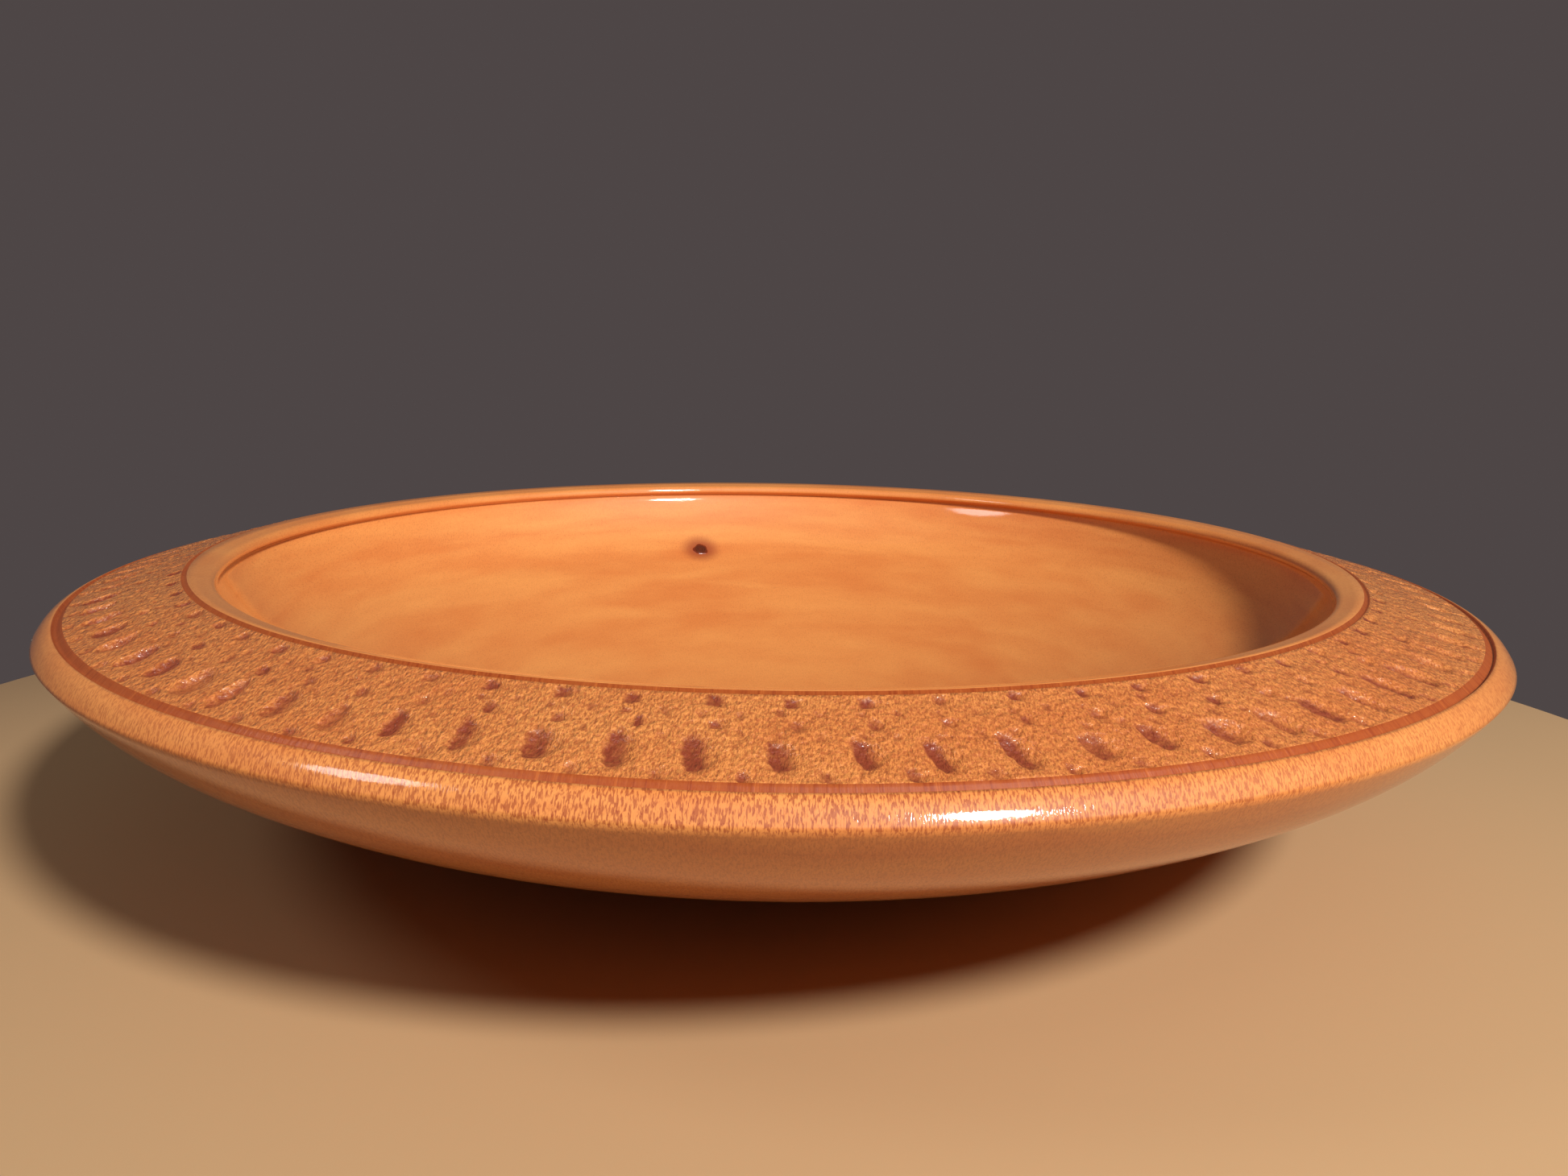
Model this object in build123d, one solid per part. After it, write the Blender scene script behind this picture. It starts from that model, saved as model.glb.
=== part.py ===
from build123d import *
import math
import os

# A shallow turned bowl: a broad carved rim band between two scribed grooves,
# a smooth rolled lip inside it, a quarter-round bevel outside it, and a dished
# underside on a low foot ring. A dark pin knot sits in the far inner wall.
# Millimetres. The origin is on the foot plane, on the turning axis, +Z up.

# Overall form
OUTER_RADIUS = 145.0
TOTAL_HEIGHT = 54.0
OPENING_RADIUS = 115.4

# Lip: a smooth ring that falls gently inwards, then rolls into the bowl
LIP_WIDTH = 5.0
LIP_FALL = 0.7
LIP_ROLL_REACH = 1.7
LIP_ROLL_DROP = 1.6

# Scribed grooves that frame the carved band
INNER_GROOVE_WIDTH = 1.0
INNER_GROOVE_DEPTH = 0.5
OUTER_GROOVE_WIDTH = 1.7
OUTER_GROOVE_DEPTH = 0.75
OUTER_GROOVE_LEAN = 0.72
BAND_SLOPE = 14.6

# Bevel: rounds over from the rim's slope to a crisp arris at the widest radius.
# Its lean is how far its lower end still stands off upright
BEVEL_WIDTH = 3.3
BEVEL_DROP = 3.15
BEVEL_LEAN = 30.0
BEVEL_FULLNESS = 1.6

# Underside: falls steeply from the arris, then sweeps in to the foot
SHOULDER_LEAN = 6.0
SHOULDER_DROP = 10.0
BELLY_RADIUS = 121.9
BELLY_HEIGHT = 17.8
FOOT_RADIUS = 50.0
FOOT_HEIGHT = 2.5
FOOT_RING_WIDTH = 9.0
BASE_RECESS = 1.5

# Inside: a shallow dished floor and a cove that turns it up under the overhanging
# lip. The wall's lean is how far it stands off upright where the undercut starts
FLOOR_THICKNESS = 8.5
COVE_RADIUS = 34.0
WALL_LEAN = 23.0
UNDERCUT_REACH = 1.5
UNDERCUT_DROP = 1.5
UNDERCUT_FULLNESS = 0.7

# Carved rows of scooped dents, from the inner groove outwards. Each row gives
# its distance outside the inner groove, the turn of its first dent from the
# front in degrees, and the dent's radial length, width and depth
DENT_PITCH = 9.75
FRONT_BEARING = -90.0
DENT_ROWS = {
    "inner": (1.6, 0.6, 2.3, 2.6, 0.40),
    "middle": (6.9, 1.0, 2.0, 2.3, 0.40),
    "long": (13.0, 0.0, 6.2, 2.8, 0.60),
    "outer": (17.4, -1.7, 2.0, 2.0, 0.35),
}

# Pin knot: a tapered plug of dark wood, square to the cove. Its tilt is how far
# it points below level, and its trim is the length cut away flush with the wall
KNOT_BEARING = 103.7
KNOT_TILT = 57.0
KNOT_DIAMETER = 4.8
KNOT_TIP_DIAMETER = 3.0
KNOT_LENGTH = 7.0
KNOT_TRIM = 3.0

slope = math.radians(BAND_SLOPE)
lean = math.radians(WALL_LEAN)
knot_tilt = math.radians(KNOT_TILT)


def on_slope(radius):
    """Height of the sloping rim surface at a radius outside the lip."""
    return TOTAL_HEIGHT - (radius - OPENING_RADIUS - LIP_WIDTH) * math.tan(slope)


def lip_foot():
    """Inner edge of the rolled lip, where it overhangs the wall."""
    return Vector(OPENING_RADIUS, TOTAL_HEIGHT - LIP_FALL - LIP_ROLL_DROP)


def wall_top():
    """Where the inner wall starts to sweep back in under the lip."""
    return lip_foot() + Vector(UNDERCUT_REACH, -UNDERCUT_DROP)


def cove_centre():
    """Centre of the cove's arc, square to the wall at its top."""
    return wall_top() - Vector(math.cos(lean), -math.sin(lean)) * COVE_RADIUS


def wall_curve():
    """Inner surface, from the middle of the floor up to the lip's edge. The dish
    is an arc centred on the axis that runs tangent into the cove."""
    floor_height = BASE_RECESS + FLOOR_THICKNESS
    centre = cove_centre()
    rise = centre.Y - floor_height
    dish_radius = (centre.X**2 + rise**2 - COVE_RADIUS**2) / (2 * (rise - COVE_RADIUS))
    dish_centre = Vector(0, floor_height + dish_radius)
    outward = (centre - dish_centre).normalized()
    dish = RadiusArc((0, floor_height), dish_centre + outward * dish_radius, -dish_radius)
    cove = RadiusArc(dish @ 1, wall_top(), -COVE_RADIUS)
    undercut = Bezier(
        wall_top(),
        wall_top() + Vector(math.sin(lean), math.cos(lean)) * UNDERCUT_FULLNESS,
        lip_foot() - Vector(0, UNDERCUT_FULLNESS),
        lip_foot(),
    )
    return dish, cove, undercut


def rim_curve():
    """Top of the rim, from the rolled lip out to the arris."""
    crest_radius = OPENING_RADIUS + LIP_WIDTH
    roll_radius = OPENING_RADIUS + LIP_ROLL_REACH
    inner_bottom = crest_radius + INNER_GROOVE_WIDTH / 2
    band_start = crest_radius + INNER_GROOVE_WIDTH
    bevel_start = OUTER_RADIUS - BEVEL_WIDTH
    band_end = bevel_start - OUTER_GROOVE_WIDTH
    outer_bottom = band_end + OUTER_GROOVE_WIDTH * OUTER_GROOVE_LEAN
    bevel_foot = Vector(OUTER_RADIUS, on_slope(bevel_start) - BEVEL_DROP)
    off_upright = math.radians(BEVEL_LEAN)
    down_the_bevel = Vector(math.sin(off_upright), -math.cos(off_upright))

    roll = Bezier(
        lip_foot(),
        lip_foot() + Vector(0, LIP_ROLL_DROP / 2),
        (roll_radius - LIP_ROLL_REACH / 2, TOTAL_HEIGHT - LIP_FALL),
        (roll_radius, TOTAL_HEIGHT - LIP_FALL),
    )
    lip = Line((roll_radius, TOTAL_HEIGHT - LIP_FALL), (crest_radius, TOTAL_HEIGHT))
    scribes_and_band = Polyline(
        (crest_radius, TOTAL_HEIGHT),
        (inner_bottom, on_slope(inner_bottom) - INNER_GROOVE_DEPTH),
        (band_start, on_slope(band_start)),
        (band_end, on_slope(band_end)),
        (outer_bottom, on_slope(outer_bottom) - OUTER_GROOVE_DEPTH),
        (bevel_start, on_slope(bevel_start)),
    )
    bevel = Bezier(
        (bevel_start, on_slope(bevel_start)),
        (bevel_start + BEVEL_FULLNESS, on_slope(bevel_start + BEVEL_FULLNESS)),
        bevel_foot - down_the_bevel * BEVEL_FULLNESS,
        bevel_foot,
    )
    return roll, lip, scribes_and_band, bevel


def underside_curve(arris):
    """Underside, from the arris in to the foot ring and its shallow recess."""
    belly = Bezier(
        arris,
        (arris.X - SHOULDER_LEAN, arris.Y - SHOULDER_DROP),
        (BELLY_RADIUS, BELLY_HEIGHT),
        (FOOT_RADIUS, FOOT_HEIGHT),
    )
    recess_radius = FOOT_RADIUS - FOOT_RING_WIDTH
    foot = Polyline(
        (FOOT_RADIUS, FOOT_HEIGHT),
        (FOOT_RADIUS, 0),
        (recess_radius, 0),
        (recess_radius - BASE_RECESS, BASE_RECESS),
        (0, BASE_RECESS),
        (0, BASE_RECESS + FLOOR_THICKNESS),
    )
    return belly, foot


def turned_blank():
    """The bowl as it leaves the lathe, before the band is carved. The surface's
    seam passes through the knot's mouth, a quarter of its width off its middle,
    so that the mouth is always cut cleanly."""
    inside = wall_curve()
    rim = rim_curve()
    below = underside_curve(rim[-1] @ 1)
    section = Plane.XZ * make_face([*inside, *rim, *below])
    mouth_radius = cove_centre().X + COVE_RADIUS * math.cos(knot_tilt)
    seam_turn = math.degrees(KNOT_DIAMETER / 4 / mouth_radius)
    return Rot(0, 0, KNOT_BEARING + seam_turn) * revolve(section, Axis.Z)


def scoop(length, width, depth):
    """A cutter lying along X whose cut has this width and depth at z = 0: a ball
    for a round dent, or a round-ended bar for one longer than it is wide."""
    ball = (width**2 / 4 + depth**2) / (2 * depth)
    lift = ball - depth
    run = length - width
    if run <= 0:
        return Pos(0, 0, lift) * Sphere(ball)
    inner_end = Pos(-run / 2, 0, lift) * Sphere(ball)
    outer_end = Pos(run / 2, 0, lift) * Sphere(ball)
    barrel = Pos(0, 0, lift) * Rot(0, 90, 0) * Cylinder(ball, run)
    return inner_end + barrel + outer_end


def band_cutters():
    """Every scoop of the carved band, row by row, tilted to the rim's slope."""
    band_start = OPENING_RADIUS + LIP_WIDTH + INNER_GROOVE_WIDTH
    cutters = []
    for offset, turn, length, width, depth in DENT_ROWS.values():
        radius = band_start + offset
        count = round(2 * math.pi * radius / DENT_PITCH)
        cutter = scoop(length, width, depth)
        seat = Pos(radius, 0, on_slope(radius)) * Rot(0, BAND_SLOPE, 0)
        for i in range(count):
            cutters.append(Rot(0, 0, FRONT_BEARING + turn + i * 360 / count) * seat * cutter)
    return cutters


def knot_plug():
    """The tapered knot, long enough to stand proud of the wall before trimming."""
    into_wall = Vector(math.cos(knot_tilt), 0, -math.sin(knot_tilt))
    centre = cove_centre()
    start = Vector(centre.X, 0, centre.Y) + into_wall * (COVE_RADIUS - KNOT_TRIM)
    taper = (KNOT_DIAMETER - KNOT_TIP_DIAMETER) / KNOT_LENGTH
    cone = Cone(
        (KNOT_DIAMETER + KNOT_TRIM * taper) / 2,
        KNOT_TIP_DIAMETER / 2,
        KNOT_LENGTH + KNOT_TRIM,
        align=(Align.CENTER, Align.CENTER, Align.MIN),
    )
    return Rot(0, 0, KNOT_BEARING) * (Plane(origin=start, z_dir=into_wall) * cone)


blank = turned_blank()
plug = knot_plug()
pin_knot = plug & blank
bowl_body = blank - plug
bowl_body = bowl_body - band_cutters()

os.makedirs("parts", exist_ok=True)
for name, piece in {"bowl_body": bowl_body, "pin_knot": pin_knot}.items():
    export_step(piece, f"parts/{name}.step")
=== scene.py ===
"""Looks of the carved wooden bowl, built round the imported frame.

The bowl is one closed surface: a turned section carried round the axis, with the
carved band pressed into it as real relief. The knot is a small tapered stub set
in the far inner wall. Metres throughout, +Z up, the origin under the foot.
"""

import math

import bpy
import numpy as np
from mathutils import Matrix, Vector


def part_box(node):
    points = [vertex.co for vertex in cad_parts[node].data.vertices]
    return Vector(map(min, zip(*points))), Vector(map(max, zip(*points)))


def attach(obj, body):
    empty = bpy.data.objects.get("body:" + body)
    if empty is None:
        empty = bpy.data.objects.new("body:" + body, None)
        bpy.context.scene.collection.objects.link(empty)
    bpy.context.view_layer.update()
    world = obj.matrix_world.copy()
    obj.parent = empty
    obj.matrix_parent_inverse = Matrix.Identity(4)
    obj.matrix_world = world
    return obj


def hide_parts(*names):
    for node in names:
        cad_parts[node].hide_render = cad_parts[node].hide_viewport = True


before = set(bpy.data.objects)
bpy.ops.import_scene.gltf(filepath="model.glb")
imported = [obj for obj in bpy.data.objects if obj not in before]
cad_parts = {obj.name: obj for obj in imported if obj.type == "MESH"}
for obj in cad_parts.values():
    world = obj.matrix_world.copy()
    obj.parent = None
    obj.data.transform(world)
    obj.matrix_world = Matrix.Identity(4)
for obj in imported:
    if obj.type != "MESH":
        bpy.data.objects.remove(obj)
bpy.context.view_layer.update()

bl_info = {
    "name": "Carved Rim Bowl",
    "version": (1, 0, 0),
    "blender": (4, 5, 0),
    "location": "3D View > Sidebar > Carved Bowl",
    "description": "Makes a lathe-turned wooden bowl with a carved rim band",
    "category": "Add Mesh",
}

MM = 0.001
RIM_CORNER = np.array(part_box("bowl_body")[1])
KNOT_LOW, KNOT_HIGH = (np.array(corner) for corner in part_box("pin_knot"))


def tone(red, green, blue):
    """A screen colour, 0 to 255 each, as linear light."""
    shares = (channel / 255 for channel in (red, green, blue))
    return tuple(s / 12.92 if s <= 0.04045 else ((s + 0.055) / 1.055) ** 2.4 for s in shares)


def length(name, description, default):
    """A size in metres that the sidebar shows with its unit."""
    return bpy.props.FloatProperty(
        name=name, description=description, default=default, unit="LENGTH", precision=5
    )


def colour(name, description, default):
    """A colour swatch for the sidebar."""
    return bpy.props.FloatVectorProperty(
        name=name, description=description, default=default, subtype="COLOR", min=0, max=1
    )


class BowlForm(bpy.types.PropertyGroup):
    """The turned section, from the lip out to the foot."""

    outer_radius: length("Outer radius", "Widest radius of the rim", float(RIM_CORNER[0]))
    height: length("Height", "Foot plane to the crest of the rim", float(RIM_CORNER[2]))
    opening_radius: length("Opening radius", "Radius of the bowl's mouth", 115.4 * MM)
    lip_width: length("Lip width", "Smooth ring inside the inner groove", 5.0 * MM)
    lip_fall: length("Lip fall", "How far the lip drops towards the mouth", 0.7 * MM)
    lip_roll_reach: length("Roll reach", "Width of the rolled edge", 1.7 * MM)
    lip_roll_drop: length("Roll drop", "Height of the rolled edge", 1.6 * MM)
    inner_groove: length("Inner groove", "Width of the inner scribed line", 1.0 * MM)
    inner_groove_depth: length("Inner groove depth", "Depth of that line", 0.5 * MM)
    outer_groove: length("Outer groove", "Width of the outer scribed line", 1.7 * MM)
    outer_groove_depth: length("Outer groove depth", "Depth of that line", 0.75 * MM)
    outer_groove_lean: bpy.props.FloatProperty(
        name="Outer groove lean", description="Where its bottom lies, from its inner edge", default=0.72
    )
    band_slope: bpy.props.FloatProperty(
        name="Band slope",
        description="Fall of the carved band towards the outside",
        default=math.radians(14.6),
        subtype="ANGLE",
    )
    bevel_width: length("Bevel width", "Outer groove to the widest radius", 3.3 * MM)
    bevel_drop: length("Bevel drop", "Fall of the bevel to the arris", 3.15 * MM)
    bevel_fullness: length("Bevel fullness", "Pull of the bevel's ends on its curve", 1.6 * MM)
    bevel_lean: bpy.props.FloatProperty(
        name="Bevel lean",
        description="How far the bevel's lower end stands off upright",
        default=math.radians(30),
        subtype="ANGLE",
    )
    shoulder_lean: length("Shoulder lean", "First inward run of the underside", 6.0 * MM)
    shoulder_drop: length("Shoulder drop", "First fall of the underside", 10.0 * MM)
    belly_radius: length("Belly radius", "Radius that the underside swells towards", 121.9 * MM)
    belly_height: length("Belly height", "Height that the underside swells towards", 17.8 * MM)
    foot_radius: length("Foot radius", "Outer radius of the foot ring", 50.0 * MM)
    foot_height: length("Foot height", "Height of the foot ring", 2.5 * MM)
    foot_ring: length("Foot ring width", "Width of the foot ring", 9.0 * MM)
    base_recess: length("Base recess", "Hollow inside the foot ring", 1.5 * MM)
    floor_thickness: length("Floor thickness", "Wood left under the middle", 8.5 * MM)
    cove_radius: length("Cove radius", "Arc that turns the floor up into the lip", 34.0 * MM)
    wall_lean: bpy.props.FloatProperty(
        name="Wall lean",
        description="How far the inner wall stands off upright under the lip",
        default=math.radians(23),
        subtype="ANGLE",
    )
    undercut_reach: length("Undercut reach", "How far the lip overhangs the wall", 1.5 * MM)
    undercut_drop: length("Undercut drop", "Height of the undercut below the lip", 1.5 * MM)
    undercut_fullness: length("Undercut fullness", "Pull of the undercut's ends", 0.7 * MM)


class BowlCarving(bpy.types.PropertyGroup):
    """The tool's rows of dents and the rough scales that it leaves between them."""

    pitch: length("Dent pitch", "Step of the texturing wheel along the rim", 9.75 * MM)
    dent_depth: bpy.props.FloatProperty(
        name="Dent depth", description="Multiplies the depth of every dent", default=1.0
    )
    scale_height: length("Scale height", "Height of the rough scales", 0.32 * MM)
    scale_width: length("Scale width", "Size of a scale along the rim", 1.35 * MM)
    scale_length: length("Scale length", "Size of a scale across the rim", 2.3 * MM)
    tear_height: length("Tear height", "Relief of the torn fibres", 0.06 * MM)
    seed: bpy.props.IntProperty(name="Seed", description="Chooses another random carving", default=11)


class BowlFinish(bpy.types.PropertyGroup):
    """Colours of the wood under its lacquer."""

    pale: colour("Pale wood", "Lightest early wood", tone(228, 148, 74))
    warm: colour("Warm wood", "Darker growth layers", tone(208, 114, 48))
    fleck: colour("Fleck", "Red-brown ray flecks", tone(150, 60, 18))
    # Dark red-brown: pooled staining and painted shade in the carved band's dents and creases; also the
    # grooves' deep stripes and the knot's rings.
    pooled_stain_and_shade: colour("Pooled finish", "Stain gathered in the dents", tone(122, 40, 14))
    scribe: colour("Scribed line", "Wood burnished in the grooves", tone(136, 44, 10))
    knot: colour("Knot", "Dark heart of the knot", tone(76, 32, 12))
    floor: colour("Floor", "Pale studio floor", tone(172, 138, 98))


# Turned section


def bezier(points, steps):
    """Cubic Bezier through four control points: each point weighted by the
    Bernstein share of its place along the curve."""
    t = np.linspace(0, 1, steps)[:, None]
    shares = ((1 - t) ** 3, 3 * t * (1 - t) ** 2, 3 * t**2 * (1 - t), t**3)
    return sum(share * np.array(point) for share, point in zip(shares, points))


def arc(centre, radius, start, end, steps):
    """Circle arc: centre plus radius times the cosine and sine of each angle."""
    turn = np.linspace(start, end, steps)
    return np.array(centre) + radius * np.column_stack((np.cos(turn), np.sin(turn)))


def line(start, end, steps):
    """Evenly spaced points from start to end."""
    t = np.linspace(0, 1, steps)[:, None]
    return np.array(start) * (1 - t) + np.array(end) * t


def eased(corners, ease, steps=3):
    """A bent line whose inner corners are eased: each is swapped for the part of a
    parabola that starts and ends the easing length away from it."""
    corners = np.array(corners)
    run = [corners[:1]]
    for before, corner, after in zip(corners[:-2], corners[1:-1], corners[2:]):
        back = (before - corner) / np.linalg.norm(before - corner) * ease
        ahead = (after - corner) / np.linalg.norm(after - corner) * ease
        t = np.linspace(0, 1, steps)[:, None]
        run.append(corner + back * (1 - t) ** 2 + ahead * t**2)
    run.append(corners[-1:])
    return np.vstack(run)


def joined(*runs):
    """Runs of points end to end, with the shared end points kept once."""
    return np.vstack([runs[0]] + [run[1:] for run in runs[1:]])


def slope_height(form, radius):
    """Height of the sloping rim at a radius: the crest less the slope's fall."""
    crest = form.opening_radius + form.lip_width
    return form.height - (radius - crest) * math.tan(form.band_slope)


def lip_foot(form):
    """Inner edge of the rolled lip, as radius and height."""
    return np.array((form.opening_radius, form.height - form.lip_fall - form.lip_roll_drop))


def wall_top(form):
    """Where the inner wall starts to sweep back in under the lip."""
    return lip_foot(form) + (form.undercut_reach, -form.undercut_drop)


def cove_centre(form):
    """Centre of the cove's arc, square to the wall at its top."""
    square = np.array((math.cos(form.wall_lean), -math.sin(form.wall_lean)))
    return wall_top(form) - square * form.cove_radius


def inside_run(form):
    """Section of the inside: an arc centred on the axis runs tangent into the cove,
    which sweeps back in under the lip; the lip rolls over and rises to the crest."""
    floor_height = form.base_recess + form.floor_thickness
    centre = cove_centre(form)
    rise = centre[1] - floor_height
    dish_radius = (centre[0] ** 2 + rise**2 - form.cove_radius**2) / (2 * (rise - form.cove_radius))
    dish_centre = np.array((0, floor_height + dish_radius))
    fall = math.atan2(centre[1] - dish_centre[1], centre[0])
    lip_top = form.height - form.lip_fall
    roll = form.opening_radius + form.lip_roll_reach
    up = np.array((math.sin(form.wall_lean), math.cos(form.wall_lean)))
    dish = arc(dish_centre, dish_radius, -math.pi / 2, fall, 24)
    cove = arc(centre, form.cove_radius, fall, -form.wall_lean, 18)
    undercut = bezier(
        (
            wall_top(form),
            wall_top(form) + up * form.undercut_fullness,
            lip_foot(form) - (0, form.undercut_fullness),
            lip_foot(form),
        ),
        7,
    )
    edge = bezier(
        (
            lip_foot(form),
            lip_foot(form) + (0, form.lip_roll_drop / 2),
            (roll - form.lip_roll_reach / 2, lip_top),
            (roll, lip_top),
        ),
        7,
    )
    crest = line((roll, lip_top), (form.opening_radius + form.lip_width, form.height), 3)
    return joined(dish, cove, undercut, edge, crest)


def groove_radii(form):
    """Radii of the rim's lines: crest, inner groove bottom, band start, band end,
    outer groove bottom and bevel start."""
    crest = form.opening_radius + form.lip_width
    bevel = form.outer_radius - form.bevel_width
    band_end = bevel - form.outer_groove
    return (
        crest,
        crest + form.inner_groove / 2,
        crest + form.inner_groove,
        band_end,
        band_end + form.outer_groove * form.outer_groove_lean,
        bevel,
    )


def band_run(form, rings):
    """Section from the bottom of the inner groove, over the carved band, to the
    bottom of the outer groove."""
    _, inner_bottom, start, end, outer_bottom, _ = groove_radii(form)
    inner_low = (inner_bottom, slope_height(form, inner_bottom) - form.inner_groove_depth)
    outer_low = (outer_bottom, slope_height(form, outer_bottom) - form.outer_groove_depth)
    band = line((start, slope_height(form, start)), (end, slope_height(form, end)), rings)
    outer_wall = line(band[-1], outer_low, 4)
    return joined(line(inner_low, band[0], 3), band, outer_wall)


def outside_run(form):
    """Section from the outer groove's bottom over the bevel to the arris, then down
    the underside and round the foot ring to its shallow hollow."""
    *_, outer_bottom, bevel_start = groove_radii(form)
    start = np.array((bevel_start, slope_height(form, bevel_start)))
    outer_low = (outer_bottom, slope_height(form, outer_bottom) - form.outer_groove_depth)
    full = bevel_start + form.bevel_fullness
    arris = np.array((form.outer_radius, start[1] - form.bevel_drop))
    down = np.array((math.sin(form.bevel_lean), -math.cos(form.bevel_lean)))
    bevel = bezier(
        (start, (full, slope_height(form, full)), arris - down * form.bevel_fullness, arris), 10
    )
    belly = bezier(
        (
            arris,
            arris - (form.shoulder_lean, form.shoulder_drop),
            (form.belly_radius, form.belly_height),
            (form.foot_radius, form.foot_height),
        ),
        26,
    )
    hollow = form.foot_radius - form.foot_ring
    foot = eased(
        (
            (form.foot_radius, form.foot_height),
            (form.foot_radius, 0),
            (hollow, 0),
            (hollow - form.base_recess, form.base_recess),
            (hollow / 2, form.base_recess),
        ),
        0.4 * MM,
    )
    return joined(line(outer_low, start, 3), bevel, belly, foot)


# Carved relief


def smooth(share):
    """Eases a 0 to 1 share: three times its square less twice its cube."""
    share = np.clip(share, 0, 1)
    return share * share * (3 - 2 * share)


def scales(along, across, count, random):
    """Cellular noise on a grid that closes round the rim. Every cell holds one
    jittered point; returns how near each place is to its nearest point, the gap to
    the next nearest, and a random number for the nearest point's cell."""
    rows = int(across.max()) + 3
    jitter = random.random((count, rows, 2)) * 0.8 + 0.1
    mark = random.random((count, rows))
    column, row = np.floor(along).astype(int), np.floor(across).astype(int)
    nearest = np.full(along.shape, 9.0)
    second = np.full(along.shape, 9.0)
    found = np.zeros(along.shape)
    for step_along in (-1, 0, 1):
        for step_across in (-1, 0, 1):
            cell = (column + step_along) % count, np.clip(row + step_across, 0, rows - 1)
            gap_along = column + step_along + jitter[cell][..., 0] - along
            gap_across = row + step_across + jitter[cell][..., 1] - across
            gap = np.hypot(gap_along, gap_across)
            closer = gap < nearest
            second = np.where(closer, nearest, np.minimum(second, gap))
            found = np.where(closer, mark[cell], found)
            nearest = np.where(closer, gap, nearest)
    return nearest, second - nearest, found


def drift(x, y, size, random):
    """Value noise: random heights on a square lattice of that size, blended with
    smooth weights between the lattice's corners. The lattice repeats after side
    steps, and its middle is kept clear of the edge."""
    side, middle = 1024, 500
    u, v = x / size + middle, y / size + middle
    lattice = random.random((side, side))
    column, row = np.floor(u).astype(int), np.floor(v).astype(int)
    a, b = smooth(u - column), smooth(v - row)
    corner = [lattice[(column + i) % side, (row + j) % side] for i in (0, 1) for j in (0, 1)]
    near = corner[0] * (1 - b) + corner[1] * b
    far = corner[2] * (1 - b) + corner[3] * b
    return near * (1 - a) + far * a


# Rows of dents, from the inner groove outwards: distance outside the band's inner
# edge, turn of the first dent from the front, half length, half width and depth, in
# millimetres and degrees; then the share by which a dent leans as it runs outwards,
# how strongly it is darkened by staining and painted shade, and how many there are to a pitch
DENT_ROWS = (
    (1.6, 0.6, 1.35, 1.60, 0.50, 0.0, 1.0, 1),
    (4.4, 0.3, 0.80, 0.80, 0.25, 0.1, 0.6, 2),
    (6.9, 1.0, 1.20, 1.30, 0.48, 0.1, 0.85, 1),
    (9.4, 2.4, 0.80, 0.75, 0.25, 0.15, 0.5, 2),
    (13.0, 0.0, 3.60, 2.20, 0.85, 0.16, 0.9, 1),
    (17.4, -1.7, 1.40, 1.20, 0.45, 0.15, 0.7, 1),
)


def dents(turn, radius, form, carving, random):
    """Rows of scoops at an even pitch round the rim. A place's depth is its dent's
    depth times one less the squared distance from the dent's middle, in dent sizes.
    One wall of each scoop is four times as steep as the other, and the darkening,
    some staining and some painted shade of that wall, lies thickest against it. Each
    dent is off its place, longer, wider, deeper and darker by its own random shares."""
    start = groove_radii(form)[2]
    scatter_along, scatter_across = 0.9, 0.8
    steep, gentle = 0.4, 1.6
    sunk = np.zeros(turn.shape)
    stain_and_shade = np.zeros(turn.shape)
    for offset, first, half_length, half_width, depth, lean, stain_and_shade_strength, share in DENT_ROWS:
        row_radius = start + offset * MM
        count = round(2 * math.pi * row_radius / carving.pitch) * share
        step = 2 * math.pi / count
        place = (turn - math.radians(first - 90)) / step
        wobble = random.random((6, count))
        for neighbour in (-1, 0, 1):
            number = np.round(place).astype(int) + neighbour
            shift, slide, deep, wide, long, tint = wobble[:, number % count]
            along = (place - number) * step * row_radius / MM + (shift - 0.5) * scatter_along
            across = (radius - row_radius) / MM + (slide - 0.5) * scatter_across
            along = along - across * lean
            half = half_width * (0.75 + 0.5 * wide)
            side = np.where(along < 0, along / (half * steep), along / (half * gentle))
            reach = side**2 + (across / (half_length * (0.8 + 0.4 * long))) ** 2
            inside = np.clip(1 - reach, 0, 1)
            sunk = np.maximum(sunk, inside**0.7 * depth * (0.65 + 0.6 * deep))
            # Darkest against the steep wall: partly staining, partly painted shade where that wall lies in
            # shadow.
            wall = smooth(1.6 - np.abs(along - half * 0.05) / (half * 0.75))
            stain_and_shade = np.maximum(stain_and_shade, smooth(inside * 2.5) * wall * stain_and_shade_strength * (0.6 + 0.5 * tint))
    return sunk * MM * carving.dent_depth, stain_and_shade


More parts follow.
